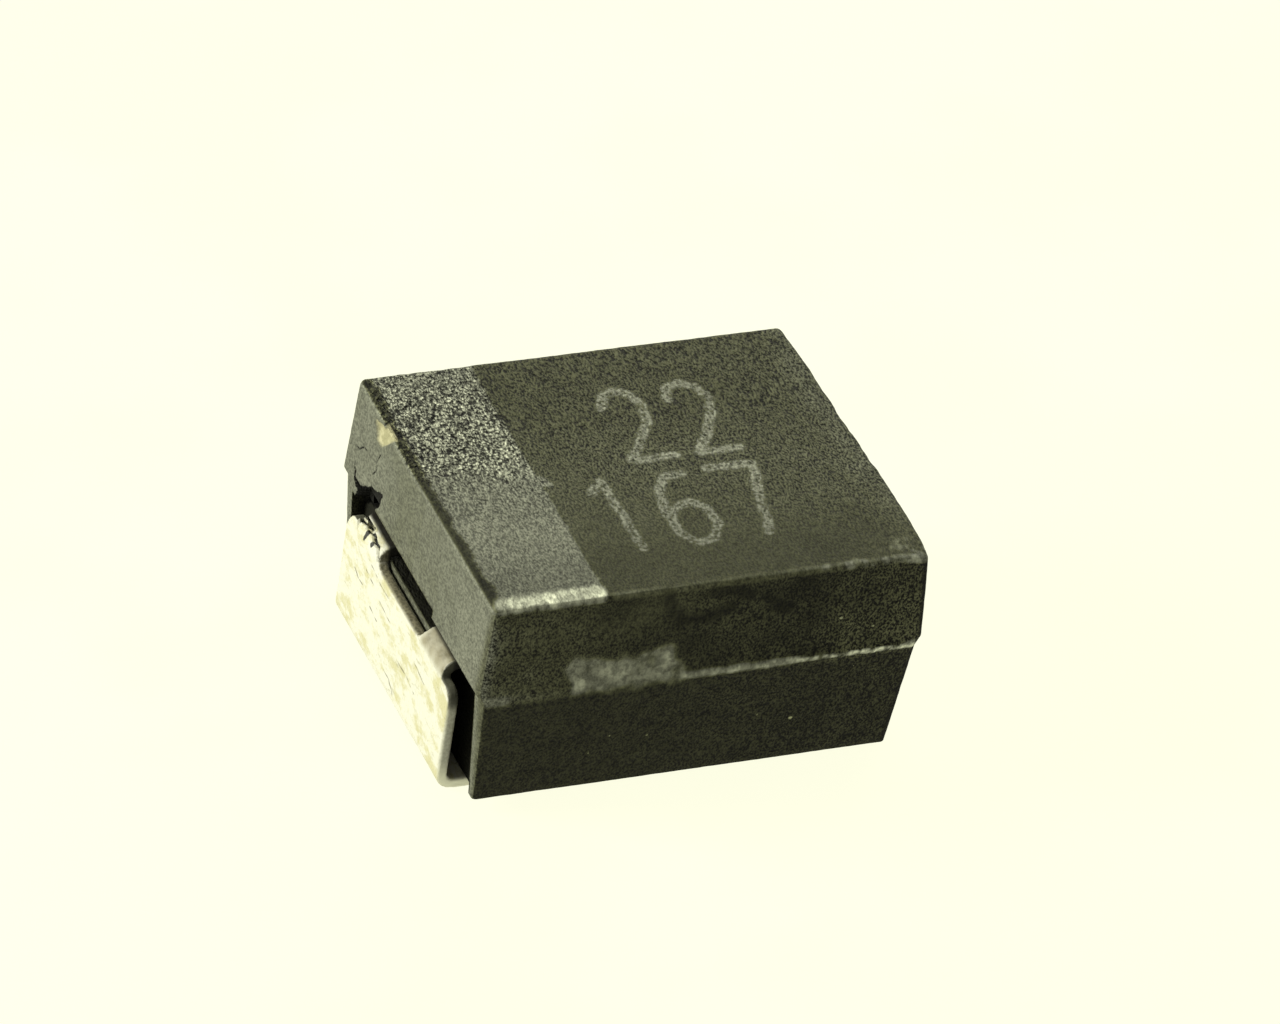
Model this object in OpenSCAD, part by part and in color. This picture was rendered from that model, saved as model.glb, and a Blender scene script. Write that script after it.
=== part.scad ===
// Moulded chip tantalum capacitor in the 3528 metric case, worn and chipped from use.
// X runs along the body from the anode end (-X, with the band) to the cathode end, and Z up from the board.
// The origin lies under the middle of the part, on the plane that its two feet stand on.
// All sizes are in millimetres.

/* [Moulded case] */
// Length of the case over the lips of its upper half
case_length = 3.38; // [3.2:0.02:3.42]
// Width of the case over the flash at its parting line
case_width = 2.8; // [2.5:0.05:3.2]
// Height of the top face above the board
case_top = 1.8; // [1.7:0.05:2.1]
// Height of the parting line, and of the sheet's upper face where it leaves the case
parting_z = 1.01; // [0.9:0.01:1.1]
// Draft of the upper half's walls, in degrees
upper_draft = 3.7; // [1:0.1:6]
// Draft of the lower half's walls, in degrees
lower_draft = 4.5; // [1:0.1:6]
// Overhang of the upper half's end lips past the lower half
lip_overhang = 0.04; // [0.02:0.01:0.06]
// Height of the undercut below each end lip
lip_rise = 0.07; // [0.04:0.01:0.12]
// Radius of the upright corners
corner_radius = 0.06; // [0.04:0.01:0.2]
// Radius of the edges round the top face
top_edge_radius = 0.03; // [0.01:0.005:0.1]
// Radius of the edges round the underside
bottom_edge_radius = 0.03; // [0.01:0.005:0.1]
// How far the flash stands out from the side walls
flash_proud = 0.012; // [0.005:0.001:0.03]
// Thickness of the flash
flash_thick = 0.035; // [0.02:0.005:0.06]

/* [Ends of the lower half] */
// Width of each corner post beside a terminal
post_width = 0.15; // [0.1:0.01:0.25]
// Depth of the recess between the posts, from the parting line's edge
recess_depth = 0.12; // [0.1:0.01:0.16]
// Gap between each leg and the resin rib that shows in the terminal's window
rib_gap = 0.02; // [0.01:0.005:0.1]
// Height of the rib's foot above the board
rib_z = 0.45; // [0.3:0.05:0.6]
// Depth of the open slot above the rib, from the parting line's edge
slot_depth = 0.2; // [0.14:0.01:0.25]
// Height of the slot above the parting line, up under the anode end's lip
slot_rise = 0.13; // [0.02:0.01:0.2]

/* [Terminals] */
// Length of the part over both terminals
overall_length = 3.5; // [3.46:0.02:3.7]
// Width of each terminal's upright face and foot
terminal_width = 2.1; // [1.9:0.05:2.3]
// Thickness of the folded sheet
sheet = 0.08; // [0.06:0.01:0.1]
// Inner radius of each fold
fold_radius = 0.05; // [0.03:0.01:0.08]
// Length of each foot, from the terminal's outer face
foot_length = 0.8; // [0.6:0.05:1]
// Gap between each foot and the underside of the case
foot_gap = 0.02; // [0.01:0.01:0.05]
// Width over the sheet where it enters the case
exit_width = 1.74; // [1.6:0.02:1.8]
// Depth of the upright face's shoulders below the parting line
shoulder_drop = 0.14; // [0.1:0.01:0.3]
// Radius of the shoulders
shoulder_radius = 0.1; // [0.05:0.01:0.12]

/* [Anode terminal] */
// Width of the window between the two legs
window_width = 0.9; // [0.7:0.02:1]
// Depth of the window's sill below the parting line
window_drop = 0.13; // [0.1:0.01:0.2]
// Radius of the window's lower corners
window_radius = 0.1; // [0.05:0.01:0.12]
// Distance from the middle of the part to the cross bar that joins the legs
bar_x = 1.15; // [1.1:0.01:1.2]
// Length of the cross bar along the part
bar_length = 0.15; // [0.1:0.01:0.2]
// Width of the tab that carries the wire
tab_width = 0.6; // [0.4:0.02:0.8]
// Clearance between the tab's end and the insulating washer
tab_gap = 0.16; // [0.05:0.01:0.2]

/* [Cathode terminal] */
// Distance from the middle of the part to the outer face of the step under the pellet
step_x = 1.42; // [1.41:0.01:1.46]
// Width of the step and the paddle
paddle_width = 1.3; // [1:0.05:1.6]
// Distance from the middle of the part to the paddle's end
paddle_x = 0.1; // [-0.2:0.05:0.3]

/* [Anode pellet] */
// Length of the sintered pellet
pellet_length = 1.7; // [1.5:0.02:1.8]
// Width of the sintered pellet
pellet_width = 2; // [1.7:0.05:2.1]
// Height of the sintered pellet
pellet_height = 1; // [0.8:0.02:1.04]
// Radius of the pellet's long edges
pellet_radius = 0.12; // [0.05:0.01:0.2]
// Clearance between the silver paint and the upright of the cathode terminal's step
pellet_gap = 0.115; // [0.08:0.005:0.15]

/* [Riser wire] */
// Diameter of the riser wire
wire_diameter = 0.2; // [0.14:0.01:0.26]
// Length of wire pressed into the pellet
wire_embed = 0.6; // [0.3:0.05:1]
// Length of wire outside the pellet
wire_reach = 0.6; // [0.5:0.01:0.65]
// Depth of the groove in the tab that the wire is welded into
wire_seat = 0.03; // [0.01:0.005:0.04]
// Diameter of the insulating washer
washer_diameter = 0.5; // [0.4:0.02:0.7]
// Thickness of the insulating washer
washer_thick = 0.08; // [0.04:0.01:0.1]

/* [Cathode coats] */
// Thickness of the manganese dioxide
oxide_thick = 0.03; // [0.02:0.005:0.04]
// Thickness of the graphite
graphite_thick = 0.015; // [0.01:0.005:0.02]
// Thickness of the silver paint
silver_thick = 0.03; // [0.015:0.005:0.04]
// Thickness of the silver adhesive under the pellet
adhesive_thick = 0.03; // [0.02:0.005:0.05]
// Length of the silver adhesive, from the paddle's end
adhesive_length = 0.95; // [0.6:0.05:1.05]
// How far the graphite stops short of the pellet's anode face
graphite_setback = 0.1; // [0.05:0.01:0.2]
// How far the silver stops short of the graphite's edge
silver_setback = 0.05; // [0.02:0.01:0.1]

/* [Polarity band] */
// Length of the etched band along the top face
band_length = 0.84; // [0.6:0.02:1]
// Depth of the etching
band_depth = 0.01; // [0.005:0.001:0.02]
// How far the band's edge jogs out where two passes of the beam meet
band_jog = 0.06; // [0.02:0.01:0.1]
// Length of the jog along the band's edge
band_jog_length = 0.09; // [0.05:0.01:0.15]
// Distance of the jog's middle from the centre line
band_jog_y = 0.045; // [-0.3:0.005:0.3]

/* [Wear] */
// Width of the chip in the top edge of the anode end
chip_width = 0.35; // [0.1:0.05:0.5]
// Height of the chip
chip_height = 0.19; // [0.05:0.01:0.3]
// Depth of the chip
chip_depth = 0.025; // [0.01:0.005:0.05]
// Distance of the chip from the centre line
chip_y = 0.67; // [0.3:0.01:0.9]
// Length of the scuffed patch on the side, at the parting line
scuff_length = 0.89; // [0.4:0.01:1.2]
// Height of the scuffed patch
scuff_height = 0.29; // [0.1:0.01:0.4]
// Depth of the scuffed patch
scuff_depth = 0.03; // [0.02:0.005:0.05]
// Distance from the middle of the part to the broken end of the flash and of the scuffed patch
flash_break = 0.15; // [0:0.05:1]
// Length of the stub of flash left at the anode end
flash_stub = 0.16; // [0.05:0.01:0.3]
// Width of the break-out beside the torn leg
breakout_width = 0.52; // [0.3:0.01:0.6]
// Height of the break-out
breakout_height = 0.47; // [0.2:0.01:0.6]
// Depth of the break-out
breakout_depth = 0.09; // [0.05:0.01:0.12]
// Distance of the break-out from the centre line
breakout_y = 0.69; // [0.5:0.01:0.8]
// Width of the crack in the torn leg
crack_width = 0.025; // [0.015:0.005:0.04]

/* [Hidden] */
$fn = 48;

// Room by which a cut runs past the face that it opens
past = 0.5;
// Fineness of the corners that the case's two halves are wrapped round
wrap_fn = 32;
// Thickness of the slabs that start each half at the parting line
seam = 0.01;

// Case
case_bottom = sheet + foot_gap;
half_width = case_width / 2 - flash_proud;
lip_x = case_length / 2;
seat_x = lip_x - lip_overhang;
upper_run = (case_top - parting_z) * tan(upper_draft);
lower_run = (parting_z - case_bottom) * tan(lower_draft);
// Half-lengths of the upper half, carried down its drafted ends to the parting line and up to the top
upper_base_x = lip_x + lip_rise * tan(upper_draft);
upper_top_x = upper_base_x - upper_run;
upper_top_y = half_width - upper_run;

// Folded sheet
fold = fold_radius + sheet / 2;
face_x = overall_length / 2;
lead_z = parting_z - sheet / 2;
lead_low = parting_z - sheet;
recess_x = seat_x - recess_depth;
shoulder_z = parting_z - shoulder_drop;
window_z = parting_z - window_drop;

// Pellet and what is round it, placed from the cathode terminal's step towards the anode terminal
coats = oxide_thick + graphite_thick + silver_thick;
pellet_x = pellet_length + coats + pellet_gap + sheet - step_x;
tab_x = pellet_x + oxide_thick + washer_thick + tab_gap;
wire_z = parting_z + wire_diameter / 2 - wire_seat;
silver_low = wire_z - pellet_height / 2 - coats;
paddle_z = silver_low - adhesive_thick - sheet / 2;
wire_end = pellet_x + wire_reach;

// ---------------------------------------------------------------- case

// Places a child at each of the four upright corners of a block
module at_corners(half_x, half_y, z) {
    for (side_x = [-1, 1], side_y = [-1, 1])
        translate([side_x * (half_x - corner_radius), side_y * (half_y - corner_radius), z])
            children();
}

// Ring that rounds off both a corner and the edge over it
module edge_ring(edge) {
    radius = min(edge, corner_radius / 2);
    rotate_extrude($fn = wrap_fn)
        translate([corner_radius - radius, 0])
            circle(radius, $fn = wrap_fn);
}

// Upper mould half, wrapped from the parting line to the rounded top edge
module upper_half() {
    radius = min(top_edge_radius, corner_radius / 2);
    hull() {
        at_corners(upper_base_x, half_width, parting_z)
            cylinder(r = corner_radius, h = seam, $fn = wrap_fn);
        at_corners(upper_top_x, upper_top_y, case_top - radius)
            edge_ring(top_edge_radius);
    }
}

// Lower mould half, wrapped from the parting line to the rounded underside
module lower_half() {
    radius = min(bottom_edge_radius, corner_radius / 2);
    hull() {
        at_corners(seat_x, half_width, parting_z - seam)
            cylinder(r = corner_radius, h = seam, $fn = wrap_fn);
        at_corners(seat_x - lower_run, half_width - lower_run, case_bottom + radius)
            edge_ring(bottom_edge_radius);
    }
}

// Undercut below the lip at the +X end: the upper half leans back in to the parting line
module lip_undercut() {
    translate([0, 0, parting_z])
        rotate([90, 0, 0])
            linear_extrude(case_width + past, center = true)
                polygon([[seat_x, 0], [lip_x, lip_rise], [lip_x + past, lip_rise], [lip_x + past, 0]]);
}

// Recess between the corner posts, where the terminal stands clear of the resin
module end_recess() {
    width = 2 * (half_width - post_width);
    translate([recess_x, -width / 2, -past])
        cube([past, width, parting_z + past]);
}

// Rib of resin that fills the middle of the anode end's recess up to the sheet
module window_rib() {
    width = window_width - 2 * rib_gap;
    translate([-seat_x, -width / 2, rib_z])
        cube([recess_depth + seam, width, lead_low - rib_z]);
}

// Slot that is left open between the legs above the rib, and from there over the torn leg
module window_slot() {
    translate([-seat_x - past, -window_width / 2, lead_low])
        cube([past + slot_depth, window_width, sheet + slot_rise]);
    translate([-seat_x - past, 0, parting_z])
        cube([past + slot_depth, exit_width / 2, slot_rise]);
}

// Flash squeezed out along the parting line, broken away near the anode end of the worn side
module flash() {
    reach = seat_x - corner_radius / 2;
    z = parting_z + flash_thick / 2;
    translate([-reach, 0, z])
        cube([2 * reach, case_width / 2, flash_thick]);
    translate([-flash_break, -case_width / 2, z])
        cube([reach + flash_break, case_width / 2, flash_thick]);
    translate([-reach, -case_width / 2, z])
        cube([flash_stub, case_width / 2, flash_thick]);
}

// Etched band across the anode end of the top face, with its jog
module band() {
    edge = band_length - upper_top_x;
    low = band_jog_y - band_jog_length / 2;
    high = band_jog_y + band_jog_length / 2;
    reach = case_width / 2 + past;
    translate([0, 0, case_top - band_depth])
        linear_extrude(past)
            polygon([
                [-lip_x - past, -reach], [edge, -reach], [edge, low],
                [edge + band_jog, low], [edge + band_jog / 2, high], [edge, high],
                [edge, reach], [-lip_x - past, reach]
            ]);
}

// Outline given in shares of a width and a height
function stretched(outline, width, height) = [for (corner = outline) [corner[0] * width, corner[1] * height]];

// Flake lost from the top edge of the anode end
module end_chip() {
    translate([chip_depth - upper_top_x, chip_y, case_top])
        rotate([90, 0, -90])
            linear_extrude(past)
                polygon(stretched([
                    [0, 0.5], [0, 0], [-0.34, -0.68], [-0.54, -1], [-0.77, -0.97],
                    [-0.89, -0.53], [-1, -0.37], [-0.8, -0.21], [-0.54, -0.16], [-0.49, 0.5]
                ], chip_width, chip_height));
}

// Scuffed patch on the side wall above the parting line, where the flash has gone
module side_scuff() {
    translate([-flash_break, scuff_depth - half_width, parting_z])
        rotate([90, 0, 0])
            linear_extrude(past)
                polygon(stretched([
                    [-1, 0.72], [-0.93, 0.97], [-0.64, 0.93], [-0.45, 0.76], [-0.24, 1],
                    [-0.12, 0.93], [0, 0.28], [0, 0], [-0.88, 0]
                ], scuff_length, scuff_height));
}

// Star-shaped piece of resin broken away at the parting line beside the torn leg
module end_breakout() {
    translate([breakout_depth - lip_x, breakout_y, parting_z])
        rotate([90, 0, -90])
            linear_extrude(past)
                polygon(stretched([
                    [0, 0.57], [-0.33, 0.38], [-0.73, 0.17], [-0.94, -0.21],
                    [-1, -0.43], [-0.69, -0.28], [-0.42, -0.13], [-0.21, 0.13]
                ], breakout_width, breakout_height));
}

module molded_case() {
    color([0.16, 0.16, 0.14])
        difference() {
            union() {
                difference() {
                    union() {
                        upper_half();
                        lower_half();
                        flash();
                    }
                    lip_undercut();
                    mirror([1, 0, 0])
                        lip_undercut();
                    end_recess();
                    mirror([1, 0, 0])
                        end_recess();
                }
                window_rib();
            }
            window_slot();
            anode_sheet();
            cathode_sheet();
            wire();
            washer();
            coated_block();
            adhesive();
            band();
            end_chip();
            side_scuff();
            end_breakout();
        }
}

// ---------------------------------------------------------------- folded sheet

// Quarter fold of the sheet from the origin, to the left (1) or to the right (-1)
module fold_quarter(turn) {
    translate([0, turn * fold])
        intersection() {
            difference() {
                circle(fold + sheet / 2);
                circle(fold - sheet / 2);
            }
            translate([0, turn > 0 ? -fold - sheet : 0])
                square(fold + sheet);
        }
}

// Section of a folded sheet: each step is a straight run and the turn that follows it (0 ends the sheet)
module folded(steps, i = 0) {
    run = steps[i][0];
    turn = steps[i][1];
    translate([0, -sheet / 2])
        square([run, sheet]);
    if (turn != 0) {
        translate([run, 0])
            fold_quarter(turn);
        translate([run + fold, turn * fold])
            rotate(90 * turn)
                folded(steps, i + 1);
    }
}

// Sheet of a terminal at the +X end: foot, upright face and tongue, and then the steps that follow
module folded_sheet(tongue, last_turn, rest) {
    foot_run = foot_length - fold - sheet / 2;
    face_run = lead_z - sheet / 2 - 2 * fold;
    steps = concat([[foot_run, 1], [face_run, 1], [tongue, last_turn]], rest);
    rotate([90, 0, 0])
        linear_extrude(terminal_width, center = true)
            translate([face_x - foot_length, sheet / 2])
                folded(steps);
}

// Front outline of a terminal: full width up to its rounded shoulders, and the exit width above them
module terminal_outline() {
    half = terminal_width / 2;
    translate([-past, 0, shoulder_z])
        rotate([90, 0, 90])
            linear_extrude(2 * face_x) {
                translate([-half, -shoulder_z - past])
                    square([terminal_width, shoulder_z + past - shoulder_radius]);
                translate([shoulder_radius - half, -shoulder_radius - seam])
                    square([terminal_width - 2 * shoulder_radius, shoulder_radius + seam]);
                for (side = [-1, 1])
                    translate([side * (half - shoulder_radius), -shoulder_radius])
                        circle(shoulder_radius);
                translate([-exit_width / 2, -seam])
                    square([exit_width, past]);
            }
}

// Trims the sheet beside the middle strip of the given width, from x = near to x = far, above the feet
module side_trim(near, far, width) {
    for (side = [0, 1])
        mirror([0, side, 0])
            translate([near, width / 2, case_bottom])
                cube([far - near, past, parting_z]);
}

// Window between the legs of the anode terminal
module window() {
    inner = window_width - 2 * window_radius;
    translate([bar_x + bar_length, 0, window_z])
        rotate([90, 0, 90])
            linear_extrude(face_x) {
                translate([-window_width / 2, window_radius])
                    square([window_width, past]);
                translate([-inner / 2, 0])
                    square([inner, window_radius]);
                for (side = [-1, 1])
                    translate([side * inner / 2, window_radius])
                        circle(window_radius);
            }
}

// Crack across the fold of a torn leg at the +X end, in two steps from the leg's outer edge
module leg_crack() {
    inner = window_width / 2;
    leg = exit_width / 2 - inner;
    for (step = [[0.6, 1.3, 62], [0.3, 0.65, 52]])
        translate([face_x - sheet / 2 - fold, inner + step[0] * leg, lead_z - fold])
            rotate([0, -step[2], 0])
                translate([0, 0, -crack_width / 2])
                    cube([past, (step[1] - step[0]) * leg, crack_width]);
}

// Whole sheet of the anode terminal, which the case is moulded round
module anode_sheet() {
    tongue = face_x - sheet / 2 - fold - tab_x;
    mirror([1, 0, 0])
        difference() {
            intersection() {
                folded_sheet(tongue, 0, []);
                terminal_outline();
            }
            window();
            side_trim(tab_x - past, bar_x, tab_width);
        }
}

module anode_terminal() {
    color([0.86, 0.84, 0.74])
        difference() {
            anode_sheet();
            mirror([1, 0, 0])
                leg_crack();
            wire();
        }
}

// Whole sheet of the cathode terminal, stepped down under the pellet
module cathode_sheet() {
    tongue = face_x - sheet / 2 - fold - step_x + sheet / 2 - fold;
    drop = lead_z - paddle_z - 2 * fold;
    paddle = step_x - sheet / 2 - fold - paddle_x;
    difference() {
        intersection() {
            folded_sheet(tongue, 1, [[drop, -1], [paddle, 0]]);
            terminal_outline();
        }
        side_trim(paddle_x - past, step_x + fold_radius, paddle_width);
    }
}

module cathode_terminal() {
    color([0.86, 0.84, 0.74])
        cathode_sheet();
}

// ---------------------------------------------------------------- wire and washer

module wire() {
    translate([-wire_end, 0, wire_z])
        rotate([0, 90, 0])
            cylinder(d = wire_diameter, h = wire_reach + wire_embed);
}

module riser_wire() {
    color([0.6, 0.6, 0.62])
        wire();
}

// Full disc of the washer, before its bore
module washer() {
    translate([-pellet_x - oxide_thick - washer_thick, 0, wire_z])
        rotate([0, 90, 0])
            cylinder(d = washer_diameter, h = washer_thick);
}

module insulating_washer() {
    color([0.9, 0.9, 0.88])
        difference() {
            washer();
            wire();
        }
}

// ---------------------------------------------------------------- pellet and its coats

// Section of the pellet, grown by a thickness all round
module pellet_section(grow) {
    radius = pellet_radius + grow;
    across = pellet_width + 2 * grow;
    up = pellet_height + 2 * grow;
    square([across, up - 2 * radius], center = true);
    square([across - 2 * radius, up], center = true);
    for (side_y = [-1, 1], side_z = [-1, 1])
        translate([side_y * (across / 2 - radius), side_z * (up / 2 - radius)])
            circle(radius);
}

// Pellet grown by a thickness, and by another distance past its anode face
module block(grow, front) {
    translate([-pellet_x - front, 0, wire_z])
        rotate([90, 0, 90])
            linear_extrude(pellet_length + front + grow)
                pellet_section(grow);
}

// Everything that the resin closes round at the pellet
module coated_block() {
    block(oxide_thick, oxide_thick);
    block(oxide_thick + graphite_thick, -graphite_setback);
    block(coats, -graphite_setback - silver_setback);
}

module tantalum_pellet() {
    color([0.32, 0.32, 0.34])
        difference() {
            block(0, 0);
            wire();
        }
}

module manganese_dioxide_coat() {
    color([0.1, 0.09, 0.09])
        difference() {
            block(oxide_thick, oxide_thick);
            block(0, 0);
            wire();
        }
}

module graphite_coat() {
    color([0.2, 0.2, 0.21])
        difference() {
            block(oxide_thick + graphite_thick, -graphite_setback);
            block(oxide_thick, oxide_thick);
        }
}

module silver_coat() {
    color([0.75, 0.75, 0.76])
        difference() {
            block(coats, -graphite_setback - silver_setback);
            block(oxide_thick + graphite_thick, oxide_thick);
        }
}

module adhesive() {
    translate([paddle_x, -paddle_width / 2, silver_low - adhesive_thick])
        cube([adhesive_length, paddle_width, adhesive_thick]);
}

module silver_adhesive() {
    color([0.68, 0.68, 0.7])
        adhesive();
}

molded_case();
anode_terminal();
cathode_terminal();
tantalum_pellet();
riser_wire();
insulating_washer();
manganese_dioxide_coat();
graphite_coat();
silver_coat();
silver_adhesive();
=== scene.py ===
"""Looks of a worn chip tantalum capacitor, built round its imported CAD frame.

Shapes are worked out in millimetres and scaled to metres at the end. +X runs from the banded anode end to the
cathode end, -Y is the long side towards the camera and Z is up from the board.
"""
import math

import bpy
import numpy as np
from mathutils import Matrix, Vector


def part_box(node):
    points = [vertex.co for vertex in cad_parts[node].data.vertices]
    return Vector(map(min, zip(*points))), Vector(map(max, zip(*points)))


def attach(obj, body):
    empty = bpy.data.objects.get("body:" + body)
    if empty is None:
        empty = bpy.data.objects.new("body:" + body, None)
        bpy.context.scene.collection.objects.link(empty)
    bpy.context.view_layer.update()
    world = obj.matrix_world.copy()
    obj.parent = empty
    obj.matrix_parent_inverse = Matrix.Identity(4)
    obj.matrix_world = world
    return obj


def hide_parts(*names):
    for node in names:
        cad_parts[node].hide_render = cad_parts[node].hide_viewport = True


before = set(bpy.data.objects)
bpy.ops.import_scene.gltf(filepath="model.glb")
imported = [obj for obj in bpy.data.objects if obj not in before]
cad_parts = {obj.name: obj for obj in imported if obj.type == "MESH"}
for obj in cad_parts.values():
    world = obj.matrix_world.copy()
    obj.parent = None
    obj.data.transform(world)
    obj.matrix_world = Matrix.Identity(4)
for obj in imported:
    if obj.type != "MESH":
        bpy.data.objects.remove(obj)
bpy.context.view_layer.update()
MM = 0.001  # a millimetre in metres

# ---------------- sizes taken from the frame, in millimetres


def box_mm(node):
    """Lowest and highest corner of a CAD node in millimetres."""
    low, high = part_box(node)
    return [c / MM for c in low], [c / MM for c in high]


CASE_LOW, CASE_HIGH = box_mm("molded_case")
ANODE_LOW, ANODE_HIGH = box_mm("anode_terminal")

PARTING = ANODE_HIGH[2]        # the sheet's upper face lies on the mould's parting line
TERMINAL_FACE = -ANODE_LOW[0]  # half-length over the terminals' outer faces
TOP = CASE_HIGH[2]
BOTTOM = CASE_LOW[2]
LIP = CASE_HIGH[0]             # half-length over the lips
FLASH = 0.012                  # how far the parting flash stands out
SIDE = CASE_HIGH[1] - FLASH    # half-width without the flash

# ---------------- form of the case

UPPER_DRAFT = math.tan(math.radians(3.7))
LOWER_DRAFT = math.tan(math.radians(4.5))
LIP_RISE = 0.07            # the lip's undercut slopes out over this height
LIP_OVERHANG = 0.04
SEAT = LIP - LIP_OVERHANG  # half-length of the lower half at the parting line
POST = 0.15                # width of the corner posts
RECESS = 0.12              # depth of the recess behind a terminal
RIB_HALF = 0.43            # half-width of the rib in the anode terminal's window
RIB_FOOT = 0.45            # height where the rib begins
SLOT_HALF = 0.45           # half-width of the slot over the rib
SLOT_FAR = 0.87            # the slot runs on to here behind the break-out
SLOT_RISE = 0.13           # height of the slot over the parting line
SLOT_DEPTH = 0.2
WEB = 1.07                 # the web beside the far corner post begins here
SHEET = 0.08               # thickness of the terminals
CORNER = 0.06              # radius of the upright corners
END_ZONE = 0.3             # only this much of each end moves to follow the lip and the drafts
FAR_LEAN = 0.08            # how far the far wall leans out at the top
FAR_RISE = 0.035           # and how much higher the top face is there
CATHODE_SHIFT = 0.026      # how far the near half of the cathode end stands out
TOP_ROUND = 0.032          # radius of the edge round the top face
FAR_ROUND = 0.03           # what the far side adds to it
ANODE_ROUND = 0.02         # and what the anode end adds
STEP = 0.0175              # mesh spacing over the case
LOW_STEP = 0.025           # and up its lower half
WELD_PLACES = 5            # points that agree to so many places are one

TINY = 1e-12
ROUNDING = 1e-6
FAR_OFF = 1.0  # further than any distance that a mask tells apart


def lines(breaks, step):
    """Grid lines between breaks, and the middle of each one's strip. Inner breaks have two lines."""
    places, middles = [], []
    for a, b in zip(breaks, breaks[1:]):
        count = max(1, math.ceil((b - a) / step - ROUNDING))
        places.append(np.linspace(a, b, count + 1))
        middles.append(np.full(count + 1, (a + b) / 2))
    return np.concatenate(places), np.concatenate(middles)


def smooth(low, high, value):
    """0 below low, 1 above high and a smooth rise between."""
    t = np.clip((value - low) / (high - low), 0, 1)
    return t * t * (3 - 2 * t)


# ---------------- noise and distances

TURN = np.array(Matrix.Rotation(0.7, 3, "X") @ Matrix.Rotation(0.5, 3, "Y") @ Matrix.Rotation(0.9, 3, "Z"))
NOISE_SHIFT = 91.7  # keeps the noise's zero point off the part
HASH_X, HASH_Y, HASH_Z, HASH_SEED = 374761393, 668265263, 1442695041, 1013904223
HASH_FIRST, HASH_SECOND = 1274126177, 2246822519
WORD = 0xFFFFFFFF
OCTAVES = 3


def lattice(ix, iy, iz, seed):
    """A repeatable number from 0 to 1 at each whole-number point."""
    n = (ix * HASH_X + iy * HASH_Y + iz * HASH_Z + seed * HASH_SEED) & WORD
    n = ((n ^ (n >> 13)) * HASH_FIRST) & WORD
    n = ((n ^ (n >> 15)) * HASH_SECOND) & WORD
    return (n ^ (n >> 16)) / WORD


def noise(p, size, seed):
    """Smooth noise from -1 to 1 with features about size across, on a lattice turned off the axes."""
    q = p @ TURN / size + NOISE_SHIFT
    cell = np.floor(q).astype(np.int64)
    f = q - cell
    f = f * f * (3 - 2 * f)
    total = np.zeros(len(p))
    for dx in (0, 1):
        for dy in (0, 1):
            for dz in (0, 1):
                weight = (f[:, 0] if dx else 1 - f[:, 0]) * (f[:, 1] if dy else 1 - f[:, 1])
                weight = weight * (f[:, 2] if dz else 1 - f[:, 2])
                total += weight * lattice(cell[:, 0] + dx, cell[:, 1] + dy, cell[:, 2] + dz, seed)
    return 2 * total - 1


def layered(p, size, seed):
    """Noise of several sizes, each half the one before."""
    total, scale = np.zeros(len(p)), 0
    for i in range(OCTAVES):
        total += noise(p, size / 2 ** i, seed + 17 * i) / 2 ** i
        scale += 1 / 2 ** i
    return total / scale


def to_segment(a, b, start, end):
    """Distance of points (a, b) to a straight piece."""
    (ax, ay), (bx, by) = start, end
    dx, dy = bx - ax, by - ay
    t = np.clip(((a - ax) * dx + (b - ay) * dy) / (dx * dx + dy * dy + TINY), 0, 1)
    return np.hypot(a - ax - t * dx, b - ay - t * dy)


def to_line(a, b, path):
    """Distance of points (a, b) to an open line of straight pieces."""
    return np.minimum.reduce([to_segment(a, b, start, end) for start, end in zip(path, path[1:])])


def to_outline(a, b, outline, width=1.0, height=1.0):
    """Signed distance of points (a, b) to a closed outline of this width and height, negative inside."""
    corners = np.array(outline, float) * (width, height)
    inside = np.zeros(len(a), bool)
    for (ax, ay), (bx, by) in zip(corners, np.roll(corners, -1, 0)):
        dx, dy = bx - ax, by - ay
        across = (ay > b) != (by > b)
        inside ^= across & (a < ax + (b - ay) * dx / (dy if abs(dy) > TINY else TINY))
    away = to_line(a, b, np.concatenate([corners, corners[:1]]))
    return np.where(inside, -away, away)


def nearest(distances):
    """Smallest of several distances at each point, FAR_OFF at most."""
    return np.minimum.reduce(list(distances), axis=0, initial=FAR_OFF)


# ---------------- skin of the case


def end_depth(wall, y, z):
    """Half-length where an end wall is cut back, and NaN elsewhere. y and z are the middles of its strips."""
    by_sheet = (z > PARTING - SHEET) & (z < PARTING)
    x = np.where((np.abs(y) < SIDE - POST) & (z < PARTING), SEAT - RECESS, np.nan)
    if wall < 0:
        web = (y > WEB) & (y < SIDE - POST) & by_sheet
        rib = (np.abs(y) < RIB_HALF) & (z > RIB_FOOT) & (z < PARTING - SHEET)
        slot_low = (np.abs(y) < SLOT_HALF) & by_sheet
        slot_high = (y > -SLOT_HALF) & (y < SLOT_FAR) & (z > PARTING) & (z < PARTING + SLOT_RISE)
        x = np.where(web, np.nan, x)
        x = np.where(rib, SEAT, x)
        x = np.where(slot_low | slot_high, SEAT - SLOT_DEPTH, x)
    return x


def half_size(z):
    """Half-length and half-width at a height, and its rise: 0 at the parting line, 1 at the top."""
    up = np.maximum(z - PARTING, 0)
    down = np.maximum(PARTING - z, 0)
    lean = LIP + (LIP_RISE - up) * UPPER_DRAFT
    under = SEAT + (LIP - SEAT) * np.clip(up / LIP_RISE, 0, 1)
    half_x = np.where(up < LIP_RISE, under, lean) - down * LOWER_DRAFT
    half_y = SIDE - up * UPPER_DRAFT - down * LOWER_DRAFT
    return half_x, half_y, up / (TOP - PARTING)


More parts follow.
